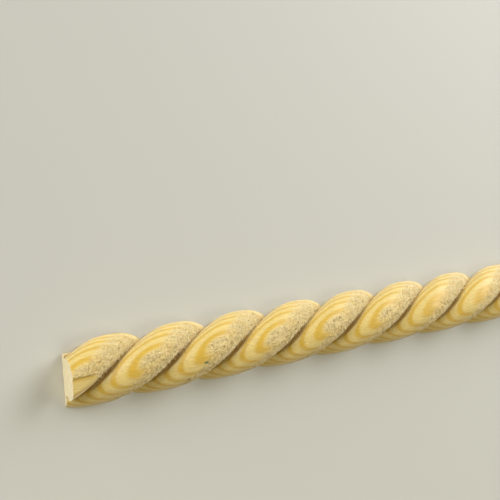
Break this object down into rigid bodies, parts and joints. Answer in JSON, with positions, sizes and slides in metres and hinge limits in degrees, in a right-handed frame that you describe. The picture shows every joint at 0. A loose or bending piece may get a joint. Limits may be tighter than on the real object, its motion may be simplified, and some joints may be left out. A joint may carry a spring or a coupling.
{
  "type": "half-round rope moulding",
  "caption": "Half-round carved pine moulding with a left-hand rope twist, a flat back and square cut ends.",
  "frame": {"origin": "middle of the flat back, at the centre of the bounding box's underside", "axes": "+X along the moulding from the weathered cut end, +Y across its width, +Z out of the back towards the carved face"},
  "size_m": [0.1872, 0.0197, 0.0086],
  "materials": {
    "pine": "planed and carved, unfinished"
  },
  "bodies": {
    "root": {"rope_moulding": "pine"}
  },
  "joints": []
}
